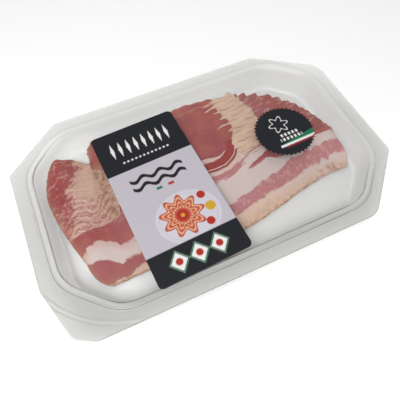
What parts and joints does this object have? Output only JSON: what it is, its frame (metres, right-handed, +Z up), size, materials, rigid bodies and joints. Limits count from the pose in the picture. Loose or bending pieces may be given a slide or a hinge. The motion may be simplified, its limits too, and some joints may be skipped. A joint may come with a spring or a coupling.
{
  "type": "bacon pack",
  "caption": "Sealed clear tray of sliced bacon with a wide flange, welded film, a printed label and a round toothed sticker.",
  "frame": {"origin": "middle of the tray's base, on the surface it lies on", "axes": "+X along the tray's long side, +Y away from the edge with the peel tab, +Z up through the film"},
  "size_m": [0.2, 0.1296, 0.018],
  "materials": {
    "tray_pet": "clear, glossy",
    "film": "clear, glossy, slightly slack",
    "label_paper": "coated, satin",
    "sticker_paper": "coated, satin",
    "bacon": "moist raw meat and fat"
  },
  "bodies": {
    "root": {"tray": "tray_pet", "film": "film", "label": "label_paper", "sticker": "sticker_paper", "slice_01": "bacon", "slice_02": "bacon", "slice_03": "bacon", "slice_04": "bacon", "slice_05": "bacon", "slice_06": "bacon", "slice_07": "bacon", "slice_08": "bacon", "slice_09": "bacon", "slice_10": "bacon", "slice_11": "bacon", "slice_12": "bacon", "slice_13": "bacon", "slice_14": "bacon"}
  },
  "joints": []
}
